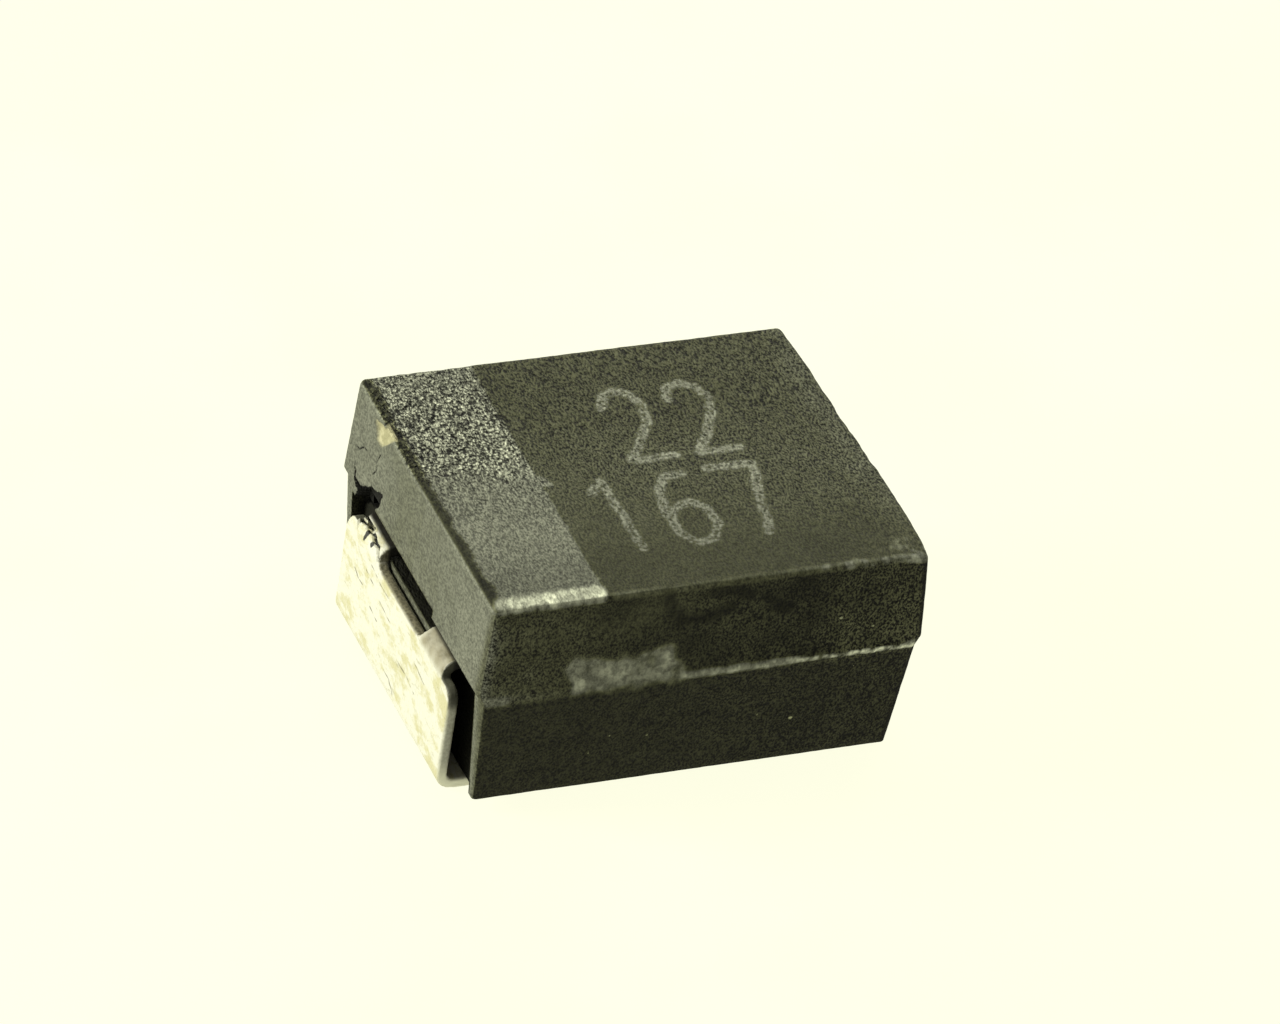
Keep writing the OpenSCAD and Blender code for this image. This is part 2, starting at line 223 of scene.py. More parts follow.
def squeeze(value, keep, full, target):
    """Moves what lies outside the kept middle so that the full half-size becomes the target."""
    size = np.abs(value)
    moved = keep + (size - keep) * (target - keep) / (full - keep)
    return np.sign(value) * np.where(size > keep, moved, size)


def edge_round(x, y):
    """Radius of the edge round the top face: softer along the far side and the anode end."""
    far = smooth(0.9, 1.3, y)
    anode = smooth(1.2, 1.6, -x)
    return TOP_ROUND + FAR_ROUND * far + ANODE_ROUND * anode * (1 - far)


def round_corners(x, y):
    """Rounds the block's upright corners; returns the new places and the direction outwards from each."""
    dx = np.abs(x) - (LIP - CORNER)
    dy = np.abs(y) - (SIDE - CORNER)
    both = (dx > 0) & (dy > 0)
    grow = np.where(both, np.maximum(dx, dy) / np.maximum(np.hypot(dx, dy), TINY), 1)
    nx = np.where(both, dx, np.where(dx > dy, 1.0, 0.0)) * np.sign(x)
    ny = np.where(both, dy, np.where(dx > dy, 0.0, 1.0)) * np.sign(y)
    length = np.maximum(np.hypot(nx, ny), TINY)
    rx = np.where(both, np.sign(x) * (LIP - CORNER + dx * grow), x)
    ry = np.where(both, np.sign(y) * (SIDE - CORNER + dy * grow), y)
    return rx, ry, nx / length, ny / length


def round_top(x, y, z):
    """How far inwards and down the rounding of the top face's edge moves each point."""
    radius = edge_round(x, y)
    t = np.clip(radius - np.minimum(LIP - np.abs(x), SIDE - np.abs(y)), 0, None)
    h = np.clip(radius - (TOP - z), 0, None)
    near = (t > 0) & (h > 0)
    scale = np.where(near, radius / np.maximum(np.hypot(t, h), TINY), 1)
    inwards = np.where(near, t - t * scale * np.maximum(t, h) / radius, 0)
    down = np.where(near, h - h * scale * np.maximum(t, h) / radius, 0)
    return inwards, down


def place(x, y, z):
    """Takes points of the plain block to the rounded, drafted case."""
    rx, ry, nx, ny = round_corners(x, y)
    inwards, down = round_top(x, y, z)
    rx = rx - nx * inwards
    ry = ry - ny * inwards
    rz = z - down
    half_x, half_y, rise = half_size(rz)
    half_x = half_x + np.where(x > 0, CATHODE_SHIFT * smooth(0.3, -0.8, y), 0)
    half_y = half_y + np.where(y > 0, FAR_LEAN * rise, 0)
    rx = squeeze(rx, LIP - END_ZONE, LIP, half_x)
    ry = squeeze(ry, SIDE - POST, SIDE, half_y)
    rz = rz + FAR_RISE * rise * smooth(0.2, 1.5, y)
    return np.stack([rx, ry, rz], 1)


def grid_faces(rows, columns, start, flip):
    """Quads of a grid of rows x columns points."""
    i, j = np.meshgrid(np.arange(rows - 1), np.arange(columns - 1), indexing="ij")
    a = start + i * columns + j
    quads = np.stack([a, a + columns, a + columns + 1, a + 1], -1).reshape(-1, 4)
    return quads[:, ::-1] if flip else quads


def crossed(a, b):
    """Every value of a with every value of b, as two flat arrays."""
    return [grid.ravel() for grid in np.meshgrid(a, b, indexing="ij")]


def case_skin():
    """Points and faces of the outer skin, with its recesses, rib and slot. It is open at the bottom."""
    back = SIDE - POST
    xs, _ = lines([-LIP, LIP], STEP)
    y_breaks = [-SIDE, -back, -SLOT_HALF, -RIB_HALF, RIB_HALF, SLOT_HALF, SLOT_FAR, WEB, back, SIDE]
    ys, y_strips = lines(y_breaks, STEP)
    z_low, low_strips = lines([BOTTOM, RIB_FOOT, PARTING - SHEET, PARTING], LOW_STEP)
    z_high, high_strips = lines([PARTING, PARTING + LIP_RISE, PARTING + SLOT_RISE, TOP], STEP)
    zs = np.concatenate([z_low, z_high])
    z_strips = np.concatenate([low_strips, high_strips])
    blocks, quads, start = [], [], 0

    def add(block, rows, columns, flip):
        nonlocal start
        blocks.append(block)
        quads.append(grid_faces(rows, columns, start, flip))
        start += len(block)

    gx, gy = crossed(xs, ys)
    add(place(gx, gy, np.full(len(gx), TOP)), len(xs), len(ys), False)
    for wall in (-1, 1):
        gx, gz = crossed(xs, zs)
        add(place(gx, np.full(len(gx), wall * SIDE), gz), len(xs), len(zs), wall > 0)
    for wall in (-1, 1):
        gy, gz = crossed(ys, zs)
        block = place(np.full(len(gy), wall * LIP), gy, gz)
        depth = end_depth(wall, *crossed(y_strips, z_strips))
        block[:, 0] = np.where(np.isnan(depth), block[:, 0], wall * depth)
        block[:, 1] = np.where(np.isnan(depth), block[:, 1], gy)
        add(block, len(ys), len(zs), wall < 0)
    points = np.concatenate(blocks)
    rounded = np.round(points, WELD_PLACES)
    _, first, index = np.unique(rounded, axis=0, return_index=True, return_inverse=True)
    return points[first], index.reshape(-1)[np.concatenate(quads)]


def whole_faces(quads):
    """Faces without doubled corners; a quad that has shrunk to a line is dropped."""
    kept = []
    for quad in quads.tolist():
        corners = [c for i, c in enumerate(quad) if c != quad[i - 1]]
        if len(set(corners)) >= 3 and len(set(corners)) == len(corners):
            kept.append(corners)
    return kept


def point_normals(points, faces):
    """Unit normal at each point, from the faces round it."""
    total = np.zeros_like(points)
    for count in (3, 4):
        group = np.array([f for f in faces if len(f) == count], int)
        if not len(group):
            continue
        a, b, c, d = (points[group[:, k]] for k in (0, 1, 2, -1))
        normal = np.cross(c - a, d - b) if count == 4 else np.cross(b - a, c - a)
        for k in range(count):
            np.add.at(total, group[:, k], normal)
    return total / np.maximum(np.linalg.norm(total, axis=1, keepdims=True), TINY)


def underside(faces):
    """One face that closes the skin at the bottom."""
    edges = dict.fromkeys((a, b) for face in faces for a, b in zip(face, face[1:] + face[:1]))
    follow = {b: a for a, b in edges if (b, a) not in edges}
    first = next(iter(follow))
    loop, at = [first], follow[first]
    while at != first:
        loop.append(at)
        at = follow[at]
    return loop


class Skin:
    """A skin's points and normals, and how much each point faces up, the anode end and the near side."""

    def __init__(self, points, normals):
        self.points, self.normals = points, normals
        self.x, self.y, self.z = points.T
        self.nx, self.ny, self.nz = normals.T
        self.up, self.end, self.side = (smooth(0.6, 0.9, n) for n in (self.nz, -self.nx, -self.ny))

    def noise(self, size, seed):
        """Noise at the skin's points."""
        return noise(self.points, size, seed)

    def layered(self, size, seed):
        """Layered noise at the skin's points."""
        return layered(self.points, size, seed)


# ---------------- band and marking of the top face

BAND_EDGE = -0.79
BAND_LEAN = 0.012  # how much further out the edge lies in the far half
BAND_DEPTH = 0.004
# Jog in the band's edge: x from the edge, and y
BAND_JOG = [(-0.02, -0.05), (0.085, -0.05), (0.05, 0.06), (-0.02, 0.09)]
PEBBLE_HEIGHT = 0.004
STROKE_HEIGHT = 0.003
STROKE_WOBBLE = 0.012

# Strokes of the digits in a box one wide and one high
DIGITS = {
    "1": [[(0.0, 0.84), (0.6, 1.0)], [(0.6, 1.0), (0.66, 0.0)]],
    "2": [[(0.04, 0.8), (0.2, 0.95), (0.5, 1.0), (0.82, 0.92), (0.95, 0.74), (0.86, 0.55), (0.5, 0.3),
           (0.06, 0.02)], [(0.06, 0.02), (1.0, 0.02)]],
    "6": [[(0.86, 0.96), (0.5, 0.95), (0.22, 0.75), (0.07, 0.45), (0.12, 0.16), (0.38, 0.0), (0.72, 0.03),
           (0.95, 0.22), (0.92, 0.45), (0.68, 0.56), (0.34, 0.52), (0.1, 0.36)]],
    "7": [[(0.0, 0.98), (0.98, 0.98)], [(0.98, 0.98), (0.7, 0.5), (0.46, 0.0)]],
}
# Plain generic numbers: digit, lower left corner, width and height
MARKING = [("2", -0.05, 0.1, 0.34, 0.8), ("2", 0.46, 0.1, 0.34, 0.8),
           ("1", -0.47, -0.86, 0.2, 0.8), ("6", -0.06, -0.88, 0.37, 0.82), ("7", 0.46, -0.86, 0.36, 0.8)]


def marking_distance(s):
    """Distance of each point of the top to the middle of the nearest stroke."""
    a = s.x + STROKE_WOBBLE * s.noise(0.12, 5)
    b = s.y + STROKE_WOBBLE * s.noise(0.12, 6)
    away = nearest(to_line(a, b, [(x + u * width, y + v * height) for u, v in path])
                   for digit, x, y, width, height in MARKING for path in DIGITS[digit])
    return np.where(s.nz > 0.6, away, FAR_OFF)


def etched_band(s):
    """Mask of the etched band, mask of its coarse, crisp far half, and the height of both."""
    ragged = 0.008 * s.noise(0.06, 11) + 0.005 * s.noise(0.025, 12)
    edge = s.x - (BAND_EDGE - BAND_LEAN * smooth(0, 0.9, s.y)) + ragged
    jog = to_outline(s.x - BAND_EDGE, s.y, BAND_JOG) + ragged
    on_top = smooth(0.2, 0.6, s.nz)
    band = smooth(0.008, -0.008, np.minimum(edge, jog)) * on_top * (s.z > TOP - 0.1)
    far_half = smooth(-0.05, 0.4, s.y + 0.15 * s.noise(0.15, 23))
    coarse = band * far_half * (0.5 + 0.5 * smooth(1.38, 0.95, s.y))
    height = band * (-BAND_DEPTH + 0.0012 * s.noise(0.03, 21)) + coarse * PEBBLE_HEIGHT * s.noise(0.036, 22)
    return band, coarse, height


# ---------------- wear of the case

RIPPLE, WAVE = 0.0022, 0.003  # unevenness of the moulded skin

# Chip at the top of the anode end: across from its start and up from the top, as shares of its size
CHIP = [(0, 0.5), (0, 0), (-0.34, -0.68), (-0.54, -1), (-0.77, -0.97),
        (-0.89, -0.53), (-1, -0.37), (-0.8, -0.21), (-0.54, -0.16), (-0.49, 0.5)]
CHIP_START = 0.67
CHIP_SIZE = (0.35, 0.19)
CHIP_DEPTH = 0.02

# Break-out of the anode end: y, and height over the parting line
BREAKOUT = [(1.2, 0.24), (1.13, 0.13), (1.02, 0.13), (0.84, 0.24), (0.675, 0.3), (0.7, 0.2), (0.75, 0.1),
            (0.82, -0.02), (0.95, -0.08), (1.08, -0.1), (1.22, -0.17), (1.15, -0.03), (1.07, 0.05),
            (1.16, 0.12)]
BREAKOUT_DEPTH = 0.1

# Hairline cracks of the anode end: y and z
CRACKS = [[(0.84, 1.56), (0.87, 1.47), (0.85, 1.42), (0.89, 1.34)],
          [(1.04, 1.44), (1.12, 1.42), (1.16, 1.37), (1.23, 1.35)]]
CRACK_DEPTH = 0.006

# Painted highlight blobs along the near edge at the band: middle and strength
BLOBS = [(-1.56, 0.55), (-1.47, 0.8), (-1.38, 0.65), (-1.29, 0.7), (-1.2, 1.15), (-1.1, 0.75), (-1.01, 0.65),
         (-0.93, 0.8), (-0.85, 1.0)]
BLOB_LINE = -1.268
BLOB_LIGHT = 1.05
# Strengths of the painted highlight beyond the band, of its beads, and of the beads at the cathode corner
EDGE_LIGHT, EDGE_BEADS, CORNER_BEADS = 0.14, 0.5, 0.2

# Scuffed patch of the near side: x, and height over the parting line
SCUFF = [(-1.04, 0.21), (-0.98, 0.28), (-0.72, 0.27), (-0.55, 0.22), (-0.36, 0.29),
         (-0.26, 0.27), (-0.15, 0.08), (-0.15, -0.02), (-0.97, -0.02)]
SCUFF_DEPTH = 0.01
SCUFF_LIGHT = 0.3
# Lighter places of the scuffed patch: x, z, size and strength
SCUFF_BLOBS = [(-0.92, 1.07, 0.05, 0.9), (-0.73, 1.16, 0.08, 0.55), (-0.6, 1.13, 0.06, 0.5),
               (-0.42, 1.12, 0.05, 0.35), (-0.27, 1.21, 0.045, 1.0), (-0.3, 1.1, 0.05, 0.5)]
# Smudge and dark curves of the near side: x and z
SMUDGE = (-0.45, 1.6)
SMUDGE_LIGHT = 0.085
DARK_CURVES = [[(-0.32, 1.76), (-0.3, 1.62), (-0.2, 1.52), (0.0, 1.5), (0.16, 1.58)],
               [(0.02, 1.72), (0.2, 1.7), (0.3, 1.66)], [(0.42, 1.62), (0.6, 1.5)]]

# Bright specks of the near side: x, z and radius
SPECKS = [(1.04, 1.35, 0.014), (1.30, 1.24, 0.012), (0.795, 0.47, 0.017), (0.52, 0.555, 0.012),
          (-0.32, 0.505, 0.012), (-0.61, 0.54, 0.01), (-0.75, 0.41, 0.012), (1.2, 0.9, 0.009),
          (0.2, 0.8, 0.008)]

FLASH_LINE = 0.03                      # middle of the flash over the parting line
# The light edge of the flash is a painted highlight
FLASH_WIDE, FLASH_THIN = 0.045, 0.022  # width of its light edge, and what it loses at the cathode end

WORN_CORNER = (1.68, -1.37)
CORNER_WEAR = 0.035
BULGE = 0.03  # how far the middle of the cathode end bulges


def near_edge_highlight(s):
    """Light strip along the near side's top edge, a painted highlight: strong at the band, faint and beaded
    beyond.
    """
    on_top = smooth(TOP - 0.05, TOP - 0.025, s.z)
    ragged = 0.008 * s.noise(0.06, 91)
    strip = np.zeros(len(s.x))
    for middle, light in BLOBS:
        away = np.hypot(s.x - middle, (s.y - BLOB_LINE) * 0.8) + ragged
        strip = np.maximum(strip, light * smooth(0.085, 0.035, away))
    edge = smooth(-1.28, -1.33, s.y + 0.02 * s.noise(0.08, 95)) * on_top
    beyond = smooth(-0.8, -0.7, s.x) * (EDGE_LIGHT + 0.07 * s.noise(0.2, 93))
    beads = smooth(0.6, 1.3, s.x) * smooth(-0.1, 0.6, s.noise(0.04, 94)) * EDGE_BEADS
    corner = smooth(1.1, 1.6, s.x) * smooth(-0.9, -1.3, s.y) * on_top * smooth(0, 0.7, s.noise(0.035, 96))
    return BLOB_LIGHT * strip * on_top + edge * (beyond + beads) + corner * CORNER_BEADS


def near_side_wear_and_highlight(s):
    """Wear of the near side: the scuffed patch, the light that it and its smudges add, dark curves, and a
    painted highlight along the parting line.
    """
    patch = smooth(0.04, -0.035, to_outline(s.x, s.z - PARTING, SCUFF) + 0.04 * s.noise(0.09, 44)) * s.side
    blobs = np.zeros(len(s.x))
    for x, z, size, light in SCUFF_BLOBS:
        blobs += light * np.exp(-((s.x - x) ** 2 + (s.z - z) ** 2) / size ** 2)
    patch_light = patch * (SCUFF_LIGHT + 0.12 * s.noise(0.05, 45) + 0.55 * blobs)
    smudge = np.exp(-((s.x - SMUDGE[0]) ** 2 / 0.35 + (s.z - SMUDGE[1]) ** 2 / 0.02))
    smudge = smudge * (0.5 + 0.5 * s.noise(0.22, 46))
    # Painted highlight along the parting line near the anode end
    line = smooth(0.06, 0.02, np.abs(s.z - PARTING - 0.01)) * s.side
    stub = line * (smooth(-1.42, -1.5, s.x) * 0.22 + smooth(-1.0, -1.1, s.x) * 0.05)
    ragged = 0.02 * s.noise(0.08, 48)
    dark = smooth(0.08, 0.02, nearest(to_line(s.x, s.z, path) + ragged for path in DARK_CURVES)) * s.side
    return patch, patch_light + SMUDGE_LIGHT * smudge * s.side + stub, dark


def parting_flash(s):
    """Mask of the flash along the parting line, and the painted highlight on its ragged edge."""
    away = np.abs(s.z - PARTING - FLASH_LINE)
    whole = np.where(s.y < 0, smooth(-0.17, -0.12, s.x), 1)
    reach = smooth(1.67, 1.62, np.abs(s.x)) * smooth(0.75, 0.95, np.abs(s.ny))
    reach = reach * (np.abs(s.y) > SIDE - 0.1)
    thin = smooth(0.5, 1.0, s.x)
    width = FLASH_WIDE - FLASH_THIN * thin
    light = smooth(1, 0.25, (away + 0.008 * s.noise(0.06, 52)) / width) * whole * reach
    beads = smooth(-0.3, 0.5, s.noise(0.032, 54)) * thin + (1 - thin) * (0.55 + 0.3 * s.noise(0.06, 53))
    light *= 0.15 + beads * (1.0 + 1.1 * thin) * (0.85 + 0.35 * s.noise(0.3, 55))
    return smooth(0.04, 0.012, away) * whole * reach, light


def chip_mask(s):
    """1 in the chip at the top of the anode end."""
    away = to_outline(CHIP_START - s.y, s.z - TOP, CHIP, *CHIP_SIZE) + 0.006 * s.noise(0.03, 41)
    return smooth(0.006, -0.008, away) * smooth(0.3, 0.6, -s.nx)


def breakout_distance(s):
    """Signed distance to the jagged star broken out of the anode end, negative inside."""
    away = to_outline(s.y, s.z - PARTING, BREAKOUT) + 0.012 * s.noise(0.05, 43) + 0.006 * s.noise(0.025, 47)
    return np.where(s.x < -1.4, away, FAR_OFF)


def crack_distance(s):
    """Distance to the hairline cracks of the anode end."""
    wobbly = s.y + 0.01 * s.noise(0.04, 61)
    return np.where(s.end > 0.5, nearest(to_line(wobbly, s.z, path) for path in CRACKS), FAR_OFF)


def speck_distance(s):
    """Distance to the edge of the nearest speck of the near side."""
    away = nearest(np.hypot(s.x - x, s.z - z) - size for x, z, size in SPECKS)
    return np.where(s.side > 0.5, away, FAR_OFF)


# ---------------- tone and crispness of the case

TONE = 0.05            # lightness of the plain top face
# Painted light and shade: END_TONE lightens the anode end, SIDE_TONE darkens the near side and LOWER_TONE its
# lower half more, for how each face catches the light
END_TONE, SIDE_TONE, LOWER_TONE = 0.038, -0.026, -0.0035
SIDE_END_TONE = 0.024  # the upper near side is lighter towards its ends
NEAR_TOP_TONE, FAR_TOP_TONE, MIDDLE_TOP_TONE = -0.0135, -0.002, 0.006


def plain_tone(s, lower):
    """Lightness of the resin as its faces catch the light, with its mottling."""
    upper = s.side - lower
    ends = smooth(-0.7, -1.3, s.x) * upper + smooth(0.7, 1.3, s.x) * upper * 0.6
    tone = TONE + END_TONE * s.end + SIDE_TONE * s.side + SIDE_END_TONE * ends + LOWER_TONE * lower
    tone = tone + NEAR_TOP_TONE * s.up * smooth(-0.5, -1.1, s.y)
    middle = np.exp(-((s.y + 0.1) / 0.6) ** 2)
    tone = tone + FAR_TOP_TONE * smooth(-0.15, 0.45, s.y) * s.up
    tone = tone + MIDDLE_TOP_TONE * s.up * middle * smooth(-0.6, 0.2, s.x)
    mottle = 0.65 * s.layered(0.3, 67) * upper + 0.15 * s.noise(0.1, 68) * s.side
    tint = 1 + 0.16 * s.layered(0.7, 65) + 0.08 * s.noise(0.12, 66)
    return tone * (tint + mottle + 0.1 * s.end * (s.y < 0))


def tone_with_wear_and_painted_light(s, tone, band, dark):
    """The tone with the edges and corners that are lighter or darker than the rest, painted shade in the
    hollows behind the terminals, and a painted highlight beside the anode end's near upright edge.
    """
    rim = smooth(-1.545, -1.59, s.x + 0.025 * s.noise(0.07, 62) + 0.015 * s.noise(0.03, 63))
    rim = rim * smooth(0.3, 0.6, s.nz)
    worn_edge = smooth(1.35, 1.62, s.x + 0.08 * s.noise(0.2, 64)) * s.up
    # Painted shade in the recesses and the slot behind the terminals
    shaded_hollow = smooth(SEAT - 0.03, SEAT - 0.055, np.abs(s.x)) * (np.abs(s.y) < SIDE - POST + 0.01)
    shaded_hollow = shaded_hollow * ((s.z < PARTING + SLOT_RISE + 0.01) & (s.z > BOTTOM - 0.05))
    in_from_end = half_size(s.z)[0] + CATHODE_SHIFT - s.x
    cathode_rim = smooth(0.06, 0.03, in_from_end + 0.008 * s.noise(0.05, 69)) * (s.nx < 0.95)
    cathode_rim = cathode_rim * smooth(0.6, 0.4, s.nz) * smooth(-1.2, -1.3, s.y)
    changes = [
        (-0.85, rim), (-0.65, dark), (0.35, worn_edge), (-0.95, shaded_hollow),
        (0.12, band * smooth(-0.2, -0.9, s.y)),
        (-0.45, s.end * smooth(-1.22, -1.37, s.y)),                 # near corner of the anode end
        # Painted highlight on the near side's strip at the anode end, where its rounded upright edge catches
        # the light
        (0.8, s.side * smooth(-1.56, -1.68, s.x)),                  # and the near side's strip beside it
        (1, s.end * (0.2 * smooth(0.2, 1.0, np.abs(s.y)) - 0.1)),
        (-0.85, cathode_rim),
    ]
    for share, where in changes:
        tone = tone * (1 + share * where)
    return tone


def crispness(s):
    """Strength of the grain, which grows towards the far side and the cathode end."""
    top = 0.55 * smooth(-1.0, 0.3, s.y + 0.3 * s.x)
    side = 0.4 + 0.65 * smooth(-0.6, 1.5, s.x)
    crisp = 0.5 + s.up * top + s.side * side - 0.15 * s.end
    return crisp + (0.7 - crisp) * smooth(BOTTOM + 0.05, BOTTOM, s.z)


def case_details(s):
    """Height of each point over the plain skin, and the masks that the resin's material reads."""
    band, coarse, etched = etched_band(s)
    stroke = marking_distance(s)
    chip = chip_mask(s)
    patch, wear, dark = near_side_wear_and_highlight(s)
    flash, flash_highlight = parting_flash(s)
    crack = crack_distance(s)
    lower = smooth(PARTING + 0.02, PARTING - 0.05, s.z) * s.side
    crisp = crispness(s)

    height = RIPPLE * s.layered(0.045, 1) + WAVE * s.layered(0.4, 2)
    height += etched
    height += STROKE_HEIGHT * smooth(0.04, 0.02, stroke) * (0.4 + s.noise(0.035, 31))
    height -= chip * (CHIP_DEPTH + 0.01 * s.noise(0.05, 42))
    height -= patch * (SCUFF_DEPTH + 0.008 * s.layered(0.07, 45))
    height += flash * (FLASH + 0.008 * s.noise(0.03, 51))
    height -= CRACK_DEPTH * smooth(0.014, 0.004, crack)
    return height, {
        "band": band, "coarse": coarse, "stroke": stroke, "chip": chip, "shaded_hollow": breakout_distance(s),
        "crack": crack, "speck": speck_distance(s), "crisp": crisp, "relief": crisp * (1.35 - 0.9 * s.side),
        "tone": tone_with_wear_and_painted_light(s, plain_tone(s, lower), band, dark),
        # Lighter wear together with painted highlights on the near top edge, the flash and the parting line
        "wear_and_highlight": near_edge_highlight(s) + flash_highlight + wear,
    }


# ---------------- meshes

CASE_SHARP, TERMINAL_SHARP = 50, 60  # edges stay sharp past these angles in degrees


def new_object(name, data):
    """An object with this data, in the scene."""
    obj = bpy.data.objects.new(name, data)
    bpy.context.scene.collection.objects.link(obj)
    return obj


def add_masks(mesh, masks):
    """Keeps a number for each point of a mesh under each mask's name."""
    for key, values in masks.items():
        mesh.attributes.new(key, "FLOAT", "POINT").data.foreach_set("value", values.astype(np.float32))


def shade_smooth(obj, angle):
    """Smooth shading with sharp edges past an angle in degrees."""
    for polygon in obj.data.polygons:
        polygon.use_smooth = True
    obj.data.set_sharp_from_angle(angle=math.radians(angle))


def make_case():
    """The case as one closed skin, worn and with its masks."""
    points, quads = case_skin()
    faces = whole_faces(quads)
    normals = point_normals(points, faces)
    height, masks = case_details(Skin(points, normals))
    points = points + normals * height[:, None]
    x, y, z = points.T
    x += smooth(0.004, -0.014, masks["shaded_hollow"]) * BREAKOUT_DEPTH
    worn = smooth(0.26, 0.0, np.hypot(x - WORN_CORNER[0], y - WORN_CORNER[1])) * smooth(1.4, TOP, z)
    z -= CORNER_WEAR * worn
    x += smooth(1.3, 1.66, x) * (1 - (y / SIDE) ** 2) * (BULGE + 0.008 * noise(points, 0.08, 71))
    faces.append(underside(faces))

    mesh = bpy.data.meshes.new("case_of_moulded_resin")
    mesh.from_pydata((points * MM).tolist(), [], faces)
    add_masks(mesh, masks)
    mesh.validate()
    case = new_object("case_of_moulded_resin", mesh)
    shade_smooth(case, CASE_SHARP)
    return case


# ---------------- terminals

ANODE_VOXEL, CATHODE_VOXEL = 0.014, 0.02
TORN_EDGE = 1.06       # the terminal's outer edge beside the torn leg
FOOT_LEVEL = 0.001     # the feet's flat undersides, just clear of the floor
FOLD = 0.13            # outer radius of the folds
TEAR_DEPTH = 0.03
# Path of the crack over the torn leg's fold: y and the angle round the fold in degrees
TEAR = [(0.44, 16), (0.5, 36), (0.525, 45), (0.58, 43), (0.615, 46), (0.65, 52), (0.69, 53), (0.73, 49),
        (0.78, 56), (0.82, 47), (0.88, 38), (0.95, 34)]
# Pits: y, z, half-width and half-height
PITS = [(0.715, 0.95, 0.012, 0.03), (0.6, 0.94, 0.012, 0.012)]
SCRATCHES = [[(0.52, 0.82), (0.3, 0.79), (0.05, 0.8)], [(0.6, 0.72), (0.42, 0.7)],
             [(0.3, 0.66), (0.05, 0.63)], [(-0.1, 0.45), (-0.32, 0.46), (-0.5, 0.42)],
             [(0.07, 0.22), (-0.04, 0.215), (-0.13, 0.15)], [(0.45, 0.5), (0.3, 0.48)],
             [(-0.4, 0.66), (-0.62, 0.62)], [(0.8, 0.6), (0.7, 0.56), (0.62, 0.57)]]
FACE_START = 1.66      # what lies further out than this belongs to the upright faces
WINDOW_HALF, WINDOW_FOOT, SILL_TOP = 0.5, 0.8, 0.93
SHOULDER_START = 0.86  # the shoulders lie beyond this in y, outside the legs
SHOULDER_TOP = 0.985


def remeshed(name, node, voxel):
    """Fine copy of a CAD node's mesh, in millimetres."""
    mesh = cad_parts[node].data.copy()
    mesh.transform(Matrix.Scale(1 / MM, 4))
    obj = new_object(name, mesh)
    change = obj.modifiers.new("remesh", "REMESH")
    change.mode = "VOXEL"
    change.voxel_size = voxel
    graph = bpy.context.evaluated_depsgraph_get()
    done = bpy.data.meshes.new_from_object(obj.evaluated_get(graph))
    obj.modifiers.clear()
    obj.data = done
    bpy.data.meshes.remove(mesh)
    return obj


def mesh_skin(mesh):
    """Points and normals of a mesh."""
    points = np.zeros(len(mesh.vertices) * 3)
    mesh.vertices.foreach_get("co", points)
    normals = np.zeros(len(mesh.vertices) * 3)
    mesh.vertex_normals.foreach_get("vector", normals)
    return Skin(points.reshape(-1, 3), normals.reshape(-1, 3))


def bent_shoulder(points):
    """Pushes up the shoulder beside the torn leg, so that it slopes from the leg down to the outer edge."""
    x, y, z = points.T
    share = smooth(TORN_EDGE, 0.9, y) * smooth(0.78, 0.84, z) * (x < -1.6) * (y > SHOULDER_START)
    lifted = points.copy()
    lifted[:, 2] = z + 0.8 * share * np.maximum(SHOULDER_TOP - z, 0)
    return lifted


def tear_distance(s):
    """Distance of each point of the fold to the jagged crack that runs across the torn leg."""
    turn = np.degrees(np.arctan2(s.z - (PARTING - FOLD), -(s.x + TERMINAL_FACE - FOLD)))
    path = np.interp(s.y, [y for y, _ in TEAR], [angle for _, angle in TEAR])
    along = np.abs(turn - path) * math.pi / 180 * FOLD + 0.006 * s.noise(0.04, 101)
    return np.where((s.y > 0.44) & (s.y < 0.93) & (s.x < -1.55) & (s.z > 0.85), along, FAR_OFF)


def anode_wear(s, shoulder):
    """Height and masks of the anode terminal's tear, pits, scratches and tarnish."""
    tear = tear_distance(s)
    outside = (s.x < -FACE_START) & (s.nx < -0.3)
    pits = nearest((np.hypot((s.y - y) / wide, (s.z - z) / tall) - 1) * min(wide, tall)
                   for y, z, wide, tall in PITS)
    pits = np.where(outside, pits + 0.006 * s.noise(0.03, 104), FAR_OFF)
    wobbly = s.y + 0.01 * s.noise(0.05, 102)
    scratch = nearest(to_line(wobbly, s.z, path) for path in SCRATCHES)
    scratch = np.where(outside, scratch + 0.004 * s.noise(0.04, 103), FAR_OFF)
    tan = smooth(-0.4, -0.5, s.y) * smooth(0.85, 0.92, s.z) * (0.9 + 0.4 * s.noise(0.07, 83))
    height = -TEAR_DEPTH * smooth(0.02, 0.006, tear)
    return height, {"hole": np.minimum(tear, pits), "scratch": scratch, "tan": tan * (1 - shoulder)}


def terminal_masks(s):
    """Masks of a terminal's cut edges, window sill, shoulders (for painted shade, partly dirt), parts near
    the floor (for a painted highlight on the edges) and parts in shadow (for painted shadow).
    """
    edge = smooth(0.5, 0.85, np.abs(s.ny))
    upright = (np.abs(s.x) > FACE_START) & (s.z < SILL_TOP) & (s.z > WINDOW_FOOT)
    sill = np.where(upright, smooth(0.5, 0.85, s.nz), 0)
    window = (np.abs(s.y) < WINDOW_HALF) & (s.z > WINDOW_FOOT)
    leaning = smooth(0.92, 0.7, np.abs(s.nx))
    return {
        "edge": edge * (1 - window), "low": smooth(0.3, 0.05, s.z), "sill": np.maximum(edge, sill) * window,
        "shoulder": leaning * (np.abs(s.y) > SHOULDER_START) * smooth(0.68, 0.78, s.z),
        "shade": smooth(1.672, 1.652, np.abs(s.x)) * (s.z > 0.9),
    }


